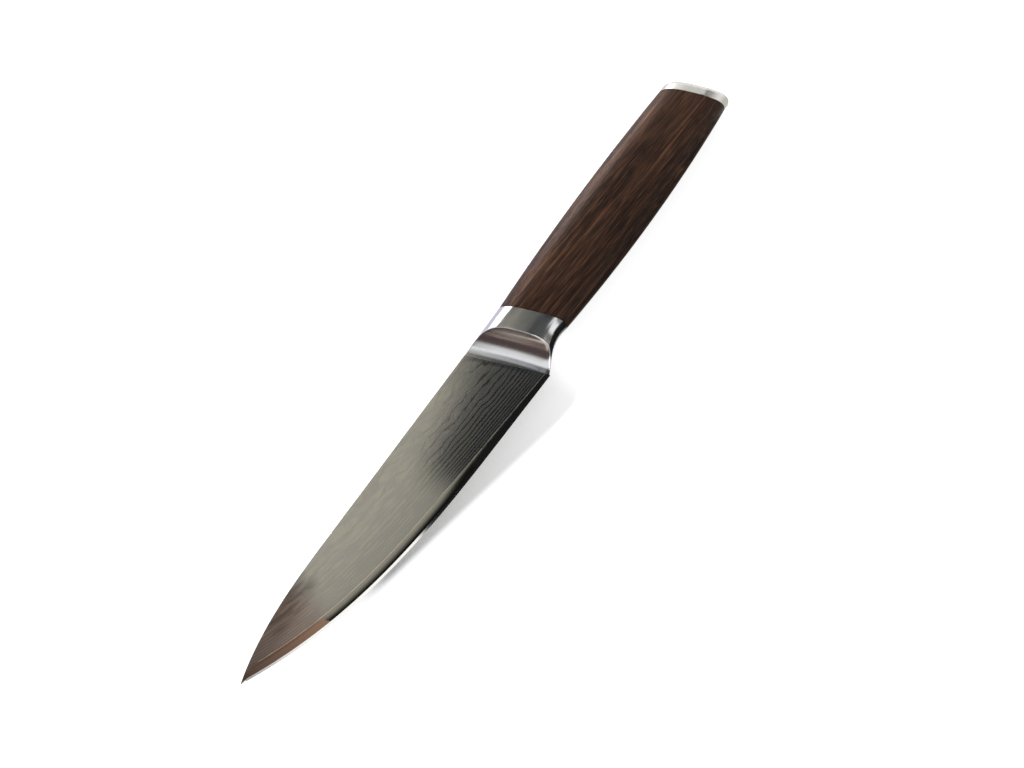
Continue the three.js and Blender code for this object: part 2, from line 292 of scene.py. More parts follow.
def edgeAt(x):  # a straight line that falls a little, then a cubic up to the tip
    start = blade["heelX"] + blade["straight"]
    straight = edgeHeelY - blade["fall"] * np.maximum(x - blade["heelX"], 0)
    startY = edgeHeelY - blade["fall"] * blade["straight"]
    curve = sweep(x, start, startY, -blade["fall"], tipX, tipY, -blade["edgeTipSlope"])
    return np.where(x <= start, straight, curve)


def bandAt(x):  # height of the bare band, which widens in a straight line and then stays
    t = np.clip((x - blade["heelX"]) / blade["bandRun"], 0, 1)
    return blade["bandHeel"] + (blade["bandTip"] - blade["bandHeel"]) * t


def crossing(start, slope, lineAt):  # where a slanted station meets a line of the blade, by settling
    x = start - slope * lineAt(start)
    for turn in range(blade["lineRounds"]):
        x = start - slope * lineAt(x)
    return x, lineAt(x)


def stationsAt(t):  # station t starts on the front's slant at the bolster and stands square at the tip
    t = np.asarray(t, float)[:, None]
    return blade["start"] + (tipX - blade["start"]) * t, joint["front"] * (1 - t)


tongue = {"inset": 1.6, "width": 8.0, "back": 10.7}  # of the core, in the bolster


# Core: edge, bevel, the rounded bare band, the flat under the cladding and the spine, then mirrored;
# the section is carried along the blade to the tip, and behind the heel it narrows to the tongue
def makeCore():
    t = 1 - (1 - np.linspace(0, 1, blade["rings"] + 1)[:-1]) ** blade["ringCrowding"]
    start, slope = stationsAt(t)

    def bevelLine(x):
        return edgeAt(x) - np.minimum(blade["bevel"], blade["bevelShare"] * (edgeAt(x) - spineAt(x)))

    def shoulderLine(x):
        return edgeAt(x) - np.minimum(bandAt(x), blade["bandShare"] * (edgeAt(x) - spineAt(x)))

    bevelHalf = blade["bevelThickness"] / 2

    def strip(lowLine, highLine, lowHalf, highHalf, shares):  # a flat strip between two lines of the blade
        v = np.asarray(shares, float)[None, :]
        x, y = crossing(start, slope, lambda x: lowLine(x) * (1 - v) + highLine(x) * v)
        z = lowHalf + (highHalf - lowHalf) * v
        return np.stack([x, y, np.broadcast_to(z, x.shape)], -1)

    band = strip(bevelLine, shoulderLine, 1.0, 0.0, np.linspace(0, 1, blade["bandPoints"])[1:])
    bandWidth = bevelLine(band[..., 0]) - shoulderLine(band[..., 0])
    power = np.maximum(blade["bandSlope"] / (coreHalf - bevelHalf) * bandWidth, 1)
    band[..., 2] = coreHalf - (coreHalf - bevelHalf) * band[..., 2] ** power  # falls slowly, then faster
    upper = np.concatenate([
        strip(edgeAt, bevelLine, blade["edgeHalf"], bevelHalf, np.linspace(0, 1, blade["bevelPoints"])),
        band,
        strip(shoulderLine, spineAt, coreHalf, coreHalf, np.linspace(0, 1, blade["flatPoints"])[1:]),
    ], axis=1)
    taper = np.minimum((1 - t) * blade["tipThinning"], 1)[:, None]
    upper[..., 2] *= np.sqrt(taper)
    lower = upper[:, ::-1] * [1, 1, -1]
    rings = np.concatenate([upper, lower], axis=1)
    heel = rings[0]
    tongueShare = (heel[:, 1] - spineY) / (edgeHeelY - spineY)
    tongueY = spineY + tongue["inset"] + tongue["width"] * tongueShare
    root = onJoint(np.array(blade["start"]), tongueY, heel[:, 2], joint["front"])
    end = np.stack([np.full_like(tongueY, tongue["back"]), tongueY, heel[:, 2]], -1)
    rings = np.concatenate([end[None], root[None], rings])
    startPole = end.mean(axis=0)
    return loftPiece("ground_core", "blade_core", rings, startPole, [tipX, tipY, 0], crease=4)


# Layered face: a wedge on the core from the foot at the bare band up to the spine, whose height over the core
# grows with the distance from the foot; a rounded spine corner, the spine wall and the inner face close it, and
# an elliptical nose ends it before the tip
def makeLayeredFace(side):
    def footAt(x):
        return edgeAt(x) - bandAt(x)

    searched, steps = blade["noseSearch"]
    probe = np.linspace(tipX - searched, tipX, steps)
    runOut = probe[np.argmax(footAt(probe) <= spineAt(probe))]
    noseEnd = runOut - blade["noseBack"]
    noseStart = noseEnd - blade["noseLength"]

    def noseFoot(x):  # the foot line, drawn up to the spine over the nose
        q = np.clip((x - noseStart) / (noseEnd - noseStart), 0, 1)
        return spineAt(x) + (footAt(x) - spineAt(x)) * np.sqrt(1 - q ** 2)

    last = (noseEnd - blade["start"]) / (tipX - blade["start"])
    for turn in range(blade["noseRounds"]):  # the station whose spine point is the nose's end
        first, slope = stationsAt([last])
        last = last + (noseEnd - crossing(first, slope, spineAt)[0][0, 0]) / (tipX - blade["start"])
    noseShare = blade["noseShare"]
    body = np.linspace(0, last - noseShare, blade["rings"])[:-1]
    nose = last - noseShare + noseShare * np.sin(np.linspace(0, np.pi / 2, blade["noseRings"]))[:-1]
    start, slope = stationsAt(np.concatenate([body, nose]))

    v = np.linspace(0, 1, blade["facePoints"])[None, :]
    x, y = crossing(start, slope, lambda x: noseFoot(x) + (spineAt(x) - noseFoot(x)) * v)
    height = grindSlope * (footAt(x) - y)  # over the core's flat
    heightShare, widthShare = blade["roundingShares"]
    rounding = np.minimum(blade["spineRounding"], heightShare * height[:, -1:])
    rounding = np.minimum(rounding, widthShare * (y[:, :1] - y[:, -1:]))
    y = y[:, :1] + (y - y[:, :1]) * (1 - rounding / np.maximum(y[:, :1] - y[:, -1:], 1e-6))
    x = start - slope * y
    height = grindSlope * (footAt(x) - y)
    face = np.stack([x, y, coreHalf + height], -1)
    turn = np.linspace(0, np.pi / 2, blade["cornerPoints"])[None, 1:]
    cornerY = y[:, -1:] - rounding * np.sin(turn)
    cornerZ = coreHalf + height[:, -1:] - rounding * (1 - np.cos(turn))
    corner = np.stack([start - slope * cornerY, cornerY, cornerZ], -1)
    wallZ = corner[:, -1:, 2] + (coreHalf - corner[:, -1:, 2]) * np.array([[0.5, 1.0]])
    wallY = np.broadcast_to(corner[:, -1:, 1], wallZ.shape)
    wall = np.stack([start - slope * wallY, wallY, wallZ], -1)
    innerY = wallY[:, -1:] + (y[:, :1] - wallY[:, -1:]) * np.array([[0.25, 0.5, 0.75, 1.0]])
    inner = np.stack([start - slope * innerY, innerY, np.full_like(innerY, coreHalf)], -1)
    rings = np.concatenate([face, corner, wall, inner], axis=1)
    uv = np.stack([rings[..., 0], footAt(rings[..., 0]) - rings[..., 1]], -1) / uvUnit
    noseY = float(spineAt(np.array(noseEnd)))
    heel = rings[0].mean(axis=0)
    endPole = np.array([noseEnd, noseY, coreHalf])
    mirror = np.array([1, 1, side])
    name, node = ("layered_face_upper", "cladding_upper") if side > 0 else ("layered_face_lower", "cladding_lower")
    return loftPiece(name, node, rings * mirror, heel * mirror, endPole * mirror, uv=uv, crease=12)


bolster = {
    "length": 17.7,
    "scoopRadius": 9.8,
    "scoopReach": 0.9999,  # share of the quarter round after which a steep wall goes on
    "wallSlope": 20.0,
    "scoopLand": (0.15, -0.9),  # level strip before the blade, on the face and at the heel
    "landTurn": (-5.0, 12.5),  # it runs out between these two heights
    "landPower": 2.5,
    "landLean": math.tan(math.radians(0.8)),
    "crestSoftness": (0.2, 0.7),  # on the face and at the belly
    "bellyRange": (6.0, 11.0),  # from the one to the other
    "closing": 0.5,  # height under which the scoop leaves the oval's thin sides alone
    "neckStartSlope": math.tan(math.radians(-14.7)),
    "neckEndSlope": math.tan(math.radians(22)),
    "heelStep": 0.3,
    "tangPocket": (5.3, 1.8),
    "tangDepth": 5.3,
    "slot": (4.3, 0.4),  # for the core's tongue
    "slotMiddle": -4.85,
    "slotBack": 10.4,
    "points": 460,
    "crowding": 0.93,
    "rings": 170,
}


# Bolster: the oval from the wood, with a belly line that draws in and swells to the heel; over each face its
# height is the softened lesser of the oval and a scoop: a level strip at the blade, then a quarter round
def makeBolster():
    angle = crowdedTurn(bolster["points"], bolster["crowding"])[None, :]
    bevel = joint["microBevel"]
    along = np.concatenate([[0, bevel], np.linspace(0, bolster["length"], bolster["rings"])[2:]])[:, None]
    inset = np.zeros_like(along)
    inset[0] = bevel
    belly = sweep(along, 0, handle["bellySide"][0], bolster["neckStartSlope"],
                  bolster["length"], edgeHeelY - bolster["heelStep"], bolster["neckEndSlope"])
    y, oval = ovalSection(angle, handle["spineSide"][0], belly, inset)
    faceLand, heelLand = bolster["scoopLand"]
    turnStart, turnEnd = bolster["landTurn"]
    turned = np.clip((y - turnStart) / (turnEnd - turnStart), 0, 1) ** bolster["landPower"]
    land = faceLand + (heelLand - faceLand) * turned
    back = (bolster["length"] - land - along) * math.cos(math.atan(joint["front"]))
    radius = bolster["scoopRadius"]
    reach = radius * bolster["scoopReach"]
    rise = radius - np.sqrt(radius ** 2 - np.clip(back, 0, reach) ** 2)
    rise = rise + np.maximum(back - reach, 0) * bolster["wallSlope"]
    rise = rise + (bolster["length"] - along) * bolster["landLean"]
    scoop = blade["spineThickness"] / 2 + grindSlope * (spineY - y) + rise
    bellyStart, bellyEnd = bolster["bellyRange"]
    bellyShare = np.clip((y - bellyStart) / (bellyEnd - bellyStart), 0, 1)
    faceSoft, bellySoft = bolster["crestSoftness"]
    height = smoothMin(np.abs(oval), scoop, faceSoft + (bellySoft - faceSoft) * bellyShare ** 2)
    near = np.clip(np.abs(oval) / bolster["closing"], 0, 1)
    height = np.abs(oval) * (1 - near) + height * near
    height = np.minimum(height, np.abs(oval))
    slope = joint["slant"] + (joint["front"] - joint["slant"]) * along / bolster["length"]
    outside = onJoint(along, y, np.sign(oval) * height, slope)
    pocketY, pocketZ = squarish(angle, *bolster["tangPocket"], handle["boreFullness"])
    pocketEnd = np.stack([np.full_like(pocketY, bolster["tangDepth"]), pocketY, pocketZ], -1)
    pocketMouth = onJoint(np.zeros((1, 1)), pocketY, pocketZ)
    slotY, slotZ = squarish(angle, *bolster["slot"], handle["boreFullness"])
    slotMouth = onJoint(np.full((1, 1), bolster["length"]), slotY + bolster["slotMiddle"], slotZ, joint["front"])
    slotEnd = np.stack([np.full_like(slotY, bolster["slotBack"]), slotY + bolster["slotMiddle"], slotZ], -1)
    rings = np.concatenate([pocketEnd, pocketMouth, outside, slotMouth, slotEnd])
    startPole = [bolster["tangDepth"], 0, 0]
    endPole = [bolster["slotBack"], bolster["slotMiddle"], 0]
    return loftPiece("scooped_bolster", "bolster", rings, startPole, endPole, crease=30)


wood = makeWood()
endCap = makeCap()
core = makeCore()
upperFace = makeLayeredFace(1)
lowerFace = makeLayeredFace(-1)
collar = makeBolster()
print("pieces made")


def put(tree, kind, inputs=None, **settings):  # adds a node, sets it and joins its inputs
    node = tree.nodes.new(kind)
    for key, value in settings.items():
        setattr(node, key, value)
    for key, value in (inputs or {}).items():
        socket = node.inputs[key]
        if isinstance(value, bpy.types.NodeSocket):
            tree.links.new(value, socket)
        else:
            socket.default_value = value
    return node


def calc(tree, operation, *values):  # one sum
    return put(tree, "ShaderNodeMath", dict(enumerate(values)), operation=operation).outputs[0]


def times(tree, first, *others):  # product of two or more values
    for other in others:
        first = calc(tree, "MULTIPLY", first, other)
    return first


def swing(tree, noise, amount):  # noise about zero, times an amount
    return times(tree, calc(tree, "SUBTRACT", noise, 0.5), amount)


def ramp(tree, value, fromLow, fromHigh, toLow=0.0, toHigh=1.0):  # smooth step between two values
    inputs = {"Value": value, "From Min": fromLow, "From Max": fromHigh, "To Min": toLow, "To Max": toHigh}
    return put(tree, "ShaderNodeMapRange", inputs, interpolation_type="SMOOTHSTEP").outputs[0]


def border(tree, value, place, soft):  # smooth step at a place, falling where soft is negative
    return ramp(tree, value, place - soft, place + soft)


def blendColour(tree, share, first, second):
    node = put(tree, "ShaderNodeMix", data_type="RGBA")
    for socket, value in ((node.inputs[0], share), (node.inputs[6], first), (node.inputs[7], second)):
        if isinstance(value, bpy.types.NodeSocket):
            tree.links.new(value, socket)
        else:
            socket.default_value = (*value, 1)
    return node.outputs[2]


# Noise drawn out along the axes: size is the length of one blotch in millimetres, perUnit the millimetres in one
# unit of the coordinates
def grain(tree, source, size, perUnit=1000.0, turn=0.0, detail=2.0, roughness=0.5, distortion=0.0, shift=(0, 0, 0)):
    turned = put(tree, "ShaderNodeMapping", {"Vector": source, "Rotation": (0, 0, math.radians(turn))})
    scaled = put(tree, "ShaderNodeMapping", {
        "Vector": turned.outputs[0],
        "Location": shift,
        "Scale": tuple(perUnit / length for length in size),
    })
    inputs = {"Vector": scaled.outputs[0], "Scale": 1.0, "Detail": detail, "Roughness": roughness,
              "Distortion": distortion}
    return put(tree, "ShaderNodeTexNoise", inputs).outputs[0]


def newMaterial(name):
    material = bpy.data.materials.new(name)
    material.use_nodes = True
    return material, material.node_tree, material.node_tree.nodes["Principled BSDF"]


def join(tree, value, socket):
    tree.links.new(value, socket)


def wear(piece, material):
    piece.data.materials.clear()
    piece.data.materials.append(material)


woodLook = {
    "darkest": (0.0075, 0.0050, 0.0046),
    "brown": (0.036, 0.0182, 0.0115),
    "light": (0.20, 0.090, 0.045),
    "sheen": 0.1,
    "sheenRoughness": 0.4,
    "sheenTint": (1.0, 0.80, 0.71, 1),
    "shine": 0.28,  # specular level
    "shineTint": (1.0, 0.68, 0.57, 1),
    "roughness": 0.38,
    "glossSpread": 0.16,
    "tilt": 3.0,  # degrees between grain and axis
    "noise": {
        "clouds": {"size": (24, 5.5, 5.5), "detail": 2.5, "distortion": 0.5},
        "bands": {"size": (60, 2.6, 3.2), "detail": 3, "distortion": 0.25, "shift": (3.1, 0.4, 1.7)},
        "streaks": {"size": (36, 0.95, 1.2), "detail": 3, "roughness": 0.6, "distortion": 0.35,
                    "shift": (7.3, 2.2, 5.1)},
        "fibre": {"size": (9, 0.22, 0.3), "detail": 2, "roughness": 0.65, "shift": (1.3, 9.1, 2.6)},
        "pores": {"size": (2.4, 0.16, 0.2), "detail": 1, "shift": (4.7, 3.3, 8.2)},
    },
    "cloudShare": 0.6,  # of the clouds against the bands
    "brownRange": (0.40, 0.58),
    "layers": (  # laid on in turn: noise, the range over which it sets in, share and tone
        ("streaks", (0.54, 0.72), 0.6, "light"),
        ("streaks", (0.48, 0.34), 0.75, "darkest"),
        ("fibre", (0.50, 0.68), 0.42, "light"),
        ("fibre", (0.50, 0.34), 0.5, "darkest"),
    ),
    "poreRange": (0.62, 0.70),
    "poreShare": 0.55,
    "poreGloss": 0.2,
    "fibreRelief": 0.5,
    "relief": {"Strength": 0.35, "Distance": 0.00006},
}


def makeWoodMaterial():
    material, tree, shader = newMaterial("dark_grained_wood")
    source = put(tree, "ShaderNodeTexCoord").outputs["Object"]
    noise = {name: grain(tree, source, turn=woodLook["tilt"], **values) for name, values in woodLook["noise"].items()}
    cloudShare = woodLook["cloudShare"]
    mixed = calc(tree, "ADD", times(tree, noise["clouds"], cloudShare), times(tree, noise["bands"], 1 - cloudShare))
    base = blendColour(tree, ramp(tree, mixed, *woodLook["brownRange"]), woodLook["darkest"], woodLook["brown"])
    for name, limits, share, tone in woodLook["layers"]:
        base = blendColour(tree, times(tree, ramp(tree, noise[name], *limits), share), base, woodLook[tone])
    pores = ramp(tree, noise["pores"], *woodLook["poreRange"])
    base = blendColour(tree, times(tree, pores, woodLook["poreShare"]), base, woodLook["darkest"])
    join(tree, base, shader.inputs["Base Color"])
    shader.inputs["Specular IOR Level"].default_value = woodLook["shine"]
    shader.inputs["Specular Tint"].default_value = woodLook["shineTint"]
    shader.inputs["Sheen Weight"].default_value = woodLook["sheen"]
    shader.inputs["Sheen Roughness"].default_value = woodLook["sheenRoughness"]
    shader.inputs["Sheen Tint"].default_value = woodLook["sheenTint"]
    spread = woodLook["glossSpread"]
    gloss = calc(tree, "ADD", times(tree, noise["fibre"], spread), woodLook["roughness"] - spread / 2)
    join(tree, calc(tree, "ADD", gloss, times(tree, pores, woodLook["poreGloss"])), shader.inputs["Roughness"])
    relief = calc(tree, "SUBTRACT", times(tree, noise["fibre"], woodLook["fibreRelief"]), pores)
    bump = put(tree, "ShaderNodeBump", {**woodLook["relief"], "Height": relief})
    join(tree, bump.outputs[0], shader.inputs["Normal"])
    return material


layeredLook = {
    "noise": {
        "longWave": {"size": (12, 5.0, 1), "detail": 2},
        "shortWave": {"size": (4.5, 1.8, 1), "detail": 2, "shift": (5.3, 1.9, 0)},
        "jitter": {"size": (0.9, 0.6, 1), "detail": 1, "shift": (2.1, 7.7, 0)},
        "wisps": {"size": (7, 1.9, 1), "turn": -6, "detail": 3, "distortion": 0.7, "shift": (8.8, 4.4, 0)},
        "smudges": {"size": (10, 2.8, 1), "detail": 2.5, "distortion": 0.4, "shift": (1.7, 2.9, 0)},
        "brushing": {"size": (6, 0.07, 1), "detail": 1, "shift": (3.3, 6.1, 0)},
        "islands": {"size": (3.4, 2.4, 1), "detail": 2.5, "roughness": 0.55, "distortion": 0.6,
                    "shift": (6.2, 3.7, 0)},
    },
    "lines": 16.0,  # layer lines that crowd towards the foot
    "reach": 10.0,  # millimetres over which they thin out
    "lineWidth": 0.2,  # half of it, in millimetres
    "leastWidth": 0.10,  # the same, as a share of the way to the next line
    "lineSides": (1.3, 0.6),  # a line fades between these shares of its width
    "waveGrowth": (0.13, 0.25, 2.6),  # swing of the lines: rise from the foot, at the foot and at most
    "rippleShare": 0.4,
    "shake": 0.06,
    "line": (0.50, 0.49, 0.475),
    "lineRoughness": 0.09,
    "matte": (0.495, 0.497, 0.490),
    "matteMetal": 0.925,  # etched layers scatter some of the light
    "matteRoughness": 0.11,
    "wisp": (0.565, 0.555, 0.510),  # pale clouds between the lines
    "wispRange": (0.36, 0.66),
    "smudge": (0.27, 0.262, 0.255),  # dark clouds along the spine before the tip
    "smudgeRange": (0.34, 0.58, 0.35, 1.0),
    "smudgeStart": (100.0, 107.0),
    "smudgeEnd": (126.0, 119.0),
    "smudgeSide": (34.5, 38.0),  # from the foot, once the blade's narrowing is added
    "narrowing": 0.27,
    "root": (0.34, 0.35, 0.35),  # painted shade: a darker strip along the bolster's front, where the blade meets it
    "rootShadePlace": 12.5,
    "rootShadeWidth": (1.7, 1.1),
    "rootShadeFoot": (1.0, 7.0),  # it fades out towards the foot and the spine
    "rootShadeSpine": (22.0, 18.5),
    "foot": (0.80, 0.78, 0.69),  # bright line where the bare core begins
    "footWidth": (0.24, -0.08),  # and its softness
    "footShake": 0.7,
    "footGloss": 0.1,
    "islands": 0.000007,  # height of the slow waves that make the clouds' borders, in metres
    "islandStart": (3.0, 9.0),
    "brushGloss": 0.05,
    "brushRelief": 0.05,
    "relief": {"Strength": 0.07, "Distance": 0.00001},
}


# Layers: the layer number rises quickly from the foot and then flattens, so noise added to it gives close wavy
# lines at the foot and islands higher up; whole numbers are the bright-etched lines
def makeLayeredMaterial():
    look = layeredLook
    material, tree, shader = newMaterial("layered_steel")
    source = put(tree, "ShaderNodeUVMap", uv_map="layers").outputs[0]
    noise = {name: grain(tree, source, perUnit=uvUnit, **values) for name, values in look["noise"].items()}
    split = put(tree, "ShaderNodeSeparateXYZ", {0: source})
    along, fromFoot = (times(tree, split.outputs[k], uvUnit) for k in range(2))
    decay = calc(tree, "EXPONENT", calc(tree, "DIVIDE", fromFoot, -look["reach"]))
    number = times(tree, calc(tree, "SUBTRACT", 1.0, decay), look["lines"])
    rise, least, most = look["waveGrowth"]
    amplitude = calc(tree, "MINIMUM", calc(tree, "MULTIPLY_ADD", fromFoot, rise, least), most)
    wave = swing(tree, noise["longWave"], amplitude)
    ripple = swing(tree, noise["shortWave"], times(tree, amplitude, look["rippleShare"]))
    shake = swing(tree, noise["jitter"], look["shake"])
    number = calc(tree, "ADD", calc(tree, "ADD", number, wave), calc(tree, "ADD", ripple, shake))
    perMillimetre = times(tree, decay, look["lines"] / look["reach"])
    width = calc(tree, "MAXIMUM", times(tree, perMillimetre, look["lineWidth"]), look["leastWidth"])
    nearLine = calc(tree, "DIVIDE", calc(tree, "PINGPONG", number, 0.5), width)
    lineShare = ramp(tree, nearLine, *look["lineSides"])
    colour = blendColour(tree, ramp(tree, noise["wisps"], *look["wispRange"]), look["matte"], look["wisp"])
    colour = blendColour(tree, lineShare, colour, look["line"])
    nearSpine = calc(tree, "MULTIPLY_ADD", along, look["narrowing"], fromFoot)
    smudged = times(tree, ramp(tree, along, *look["smudgeStart"]), ramp(tree, along, *look["smudgeEnd"]),
                    ramp(tree, nearSpine, *look["smudgeSide"]), ramp(tree, noise["smudges"], *look["smudgeRange"]))
    colour = blendColour(tree, smudged, colour, look["smudge"])
    # Painted shade: a dark strip in the base colour along the bolster's front, fading out towards the foot and the
    # spine
    fromBolster = calc(tree, "MULTIPLY_ADD", fromFoot, -joint["front"], along)
    fromBolster = calc(tree, "SUBTRACT", fromBolster, look["rootShadePlace"])
    root = times(tree, ramp(tree, fromBolster, *look["rootShadeWidth"]), ramp(tree, fromFoot, *look["rootShadeFoot"]),
                 ramp(tree, fromFoot, *look["rootShadeSpine"]))
    colour = blendColour(tree, root, colour, look["root"])
    edge = calc(tree, "ADD", fromFoot, swing(tree, noise["shortWave"], look["footShake"]))
    footShare = border(tree, edge, *look["footWidth"])
    colour = blendColour(tree, footShare, colour, look["foot"])
    join(tree, colour, shader.inputs["Base Color"])
    span = look["lineRoughness"] - look["matteRoughness"]
    gloss = calc(tree, "MULTIPLY_ADD", lineShare, span, look["matteRoughness"])
    gloss = calc(tree, "ADD", gloss, swing(tree, noise["brushing"], look["brushGloss"]))
    gloss = calc(tree, "MULTIPLY_ADD", footShare, look["footGloss"], gloss)
    join(tree, gloss, shader.inputs["Roughness"])
    metal = calc(tree, "MULTIPLY_ADD", lineShare, 1 - look["matteMetal"], look["matteMetal"])
    join(tree, metal, shader.inputs["Metallic"])
    islands = times(tree, noise["islands"], ramp(tree, fromFoot, *look["islandStart"]))
    soft = put(tree, "ShaderNodeBump", {"Strength": 1.0, "Distance": look["islands"], "Height": islands})
    relief = calc(tree, "MULTIPLY_ADD", noise["brushing"], look["brushRelief"], times(tree, lineShare, -1.0))
    bump = put(tree, "ShaderNodeBump", {**look["relief"], "Height": relief, "Normal": soft.outputs[0]})
    join(tree, bump.outputs[0], shader.inputs["Normal"])
    return material


bolsterLook = {"dark": (0.76, 0.76, 0.765), "pale": (0.86, 0.86, 0.865), "roughness": 0.16, "spread": 0.08,
               "stroke": (3.0, 0.10, 0.10), "turn": 0.0, "relief": 0.06}
capLook = {"dark": (0.74, 0.72, 0.67), "pale": (0.86, 0.84, 0.79), "roughness": 0.22, "spread": 0.08,
           "stroke": (0.10, 2.5, 0.12), "turn": 0.0, "relief": 0.06}
coreLook = {"dark": (0.40, 0.395, 0.365), "pale": (0.45, 0.44, 0.41), "roughness": 0.07, "spread": 0.04,
            "stroke": (0.12, 2.2, 0.5), "turn": 12.0, "relief": 0.03}
tangLook = {"dark": (0.30, 0.29, 0.28), "pale": (0.46, 0.45, 0.43), "roughness": 0.45, "spread": 0.2,
            "stroke": (6.0, 0.4, 0.4), "turn": 0.0, "relief": 0.15}
brushedLook = {  # the same for all of them
    "clouds": {"size": (9, 7, 7), "detail": 3, "shift": (2.7, 6.5, 1.9)},
    "strokeShare": 0.7,  # of the strokes against the clouds
    "paleRange": (0.35, 0.65),
    "depth": 0.00002,
}


# Brushed steel: two greys and the roughness follow fine strokes, with a slower cloud over them
def makeSteel(name, look):
    material, tree, shader = newMaterial(name)
    source = put(tree, "ShaderNodeTexCoord").outputs["Object"]
    strokes = grain(tree, source, look["stroke"], turn=look["turn"], detail=2)
    clouds = grain(tree, source, **brushedLook["clouds"])
    strokeShare = brushedLook["strokeShare"]
    share = calc(tree, "MULTIPLY_ADD", strokes, strokeShare, times(tree, clouds, 1 - strokeShare))
    colour = blendColour(tree, ramp(tree, share, *brushedLook["paleRange"]), look["dark"], look["pale"])
    join(tree, colour, shader.inputs["Base Color"])
    gloss = calc(tree, "ADD", swing(tree, share, look["spread"]), look["roughness"])
    join(tree, gloss, shader.inputs["Roughness"])
    shader.inputs["Metallic"].default_value = 1.0
    inputs = {"Strength": look["relief"], "Distance": brushedLook["depth"], "Height": strokes}
    join(tree, put(tree, "ShaderNodeBump", inputs).outputs[0], shader.inputs["Normal"])
    return material


bondLook = {
    "dark": (0.07, 0.05, 0.034),
    "pale": (0.15, 0.11, 0.075),
    "paleRange": (0.3, 0.7),
    "clouds": {"size": (4, 4, 4), "detail": 3},
    "bubbles": {"size": (0.5, 0.5, 0.5), "detail": 1, "shift": (3, 1, 2)},
    "roughness": (0.2, 0.4),  # its spread and least value
    "relief": {"Strength": 0.3, "Distance": 0.0001},
}


def makeBondMaterial():  # cured adhesive, cloudy with small bubbles
    material, tree, shader = newMaterial("cured_bond")
    source = put(tree, "ShaderNodeTexCoord").outputs["Object"]
    clouds = grain(tree, source, **bondLook["clouds"])
    bubbles = grain(tree, source, **bondLook["bubbles"])
    colour = blendColour(tree, ramp(tree, clouds, *bondLook["paleRange"]), bondLook["dark"], bondLook["pale"])
    join(tree, colour, shader.inputs["Base Color"])
    join(tree, calc(tree, "MULTIPLY_ADD", clouds, *bondLook["roughness"]), shader.inputs["Roughness"])
    bump = put(tree, "ShaderNodeBump", {**bondLook["relief"], "Height": bubbles})
    join(tree, bump.outputs[0], shader.inputs["Normal"])
    return material


layered = makeLayeredMaterial()
wear(wood, makeWoodMaterial())
wear(endCap, makeSteel("cap_steel", capLook))
wear(core, makeSteel("core_steel", coreLook))
wear(upperFace, layered)
wear(lowerFace, layered)
wear(collar, makeSteel("bolster_steel", bolsterLook))
wear(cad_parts["tang"], makeSteel("tang_steel", tangLook))
wear(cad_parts["handle_bond"], makeBondMaterial())
print("materials made")


studio = {
    "worldDiffuse": 0.45,  # light on matt surfaces; camera and reflections see plain white
    "floorReach": 3.0,
    "floorColour": 0.80,
    "tableGlow": 0.74,  # added for the camera
    "paintedShadowGlow": (0.54, -0.0054, 12.0),  # painted shadow: the camera's glow is lower here along the blade's edge side, deepening the key lamp's real shadow; value, slope along x, and where it is that
    "shadowStart": (4.0, 14.0),
    "shadowTip": (101.0, 86.0),
    "shadowSide": (-6.0, 2.0),
    "shadowEnd": (28.6, 26.2, 0.194),  # its outer side, a slanted line: two heights at x = 0, and the slant
    "keyPower": 7.0,
    "keyDistance": 0.9,
    "keySize": 0.2,
    "keyHeading": (-0.1, -0.995),
    "keyElevation": 33.0,
    "fillPower": 0.6,
    "fillSize": 0.8,
    "fillPlace": (-0.45, 0.65, 0.75),
}


def seenRays(tree):  # 1 for the camera, reflections and transmission
    path = put(tree, "ShaderNodeLightPath")
    both = calc(tree, "MAXIMUM", path.outputs["Is Camera Ray"], path.outputs["Is Glossy Ray"])
    return calc(tree, "MAXIMUM", both, path.outputs["Is Transmission Ray"])


def knifePlace(tree):  # x, y and z of a studio sheet's point, in millimetres on the knife's axes
    split = put(tree, "ShaderNodeSeparateXYZ", {0: put(tree, "ShaderNodeTexCoord").outputs["Object"]})
    return [calc(tree, "MULTIPLY_ADD", split.outputs[k], 1000.0, -float(knifeOrigin[k])) for k in range(3)]


def flatPiece(name, corners):  # one plain sheet of the studio
    mesh = bpy.data.meshes.new(name)
    mesh.from_pydata([tuple(corner) for corner in corners], [], [tuple(range(len(corners)))])
    sheet = bpy.data.objects.new(name, mesh)
    scene.collection.objects.link(sheet)
    return sheet


def coverSheet(sheet, name):  # gives the tree of an empty material
    material = bpy.data.materials.new(name)
    material.use_nodes = True
    material.node_tree.nodes.clear()
    sheet.data.materials.append(material)
    return material.node_tree


def makeWorld():
    world = bpy.data.worlds.new("white_studio")
    world.use_nodes = True
    scene.world = world
    tree = world.node_tree
    strength = calc(tree, "MULTIPLY_ADD", seenRays(tree), 1 - studio["worldDiffuse"], studio["worldDiffuse"])
    background = tree.nodes["Background"]
    background.inputs["Color"].default_value = (1, 1, 1, 1)
    tree.links.new(strength, background.inputs["Strength"])


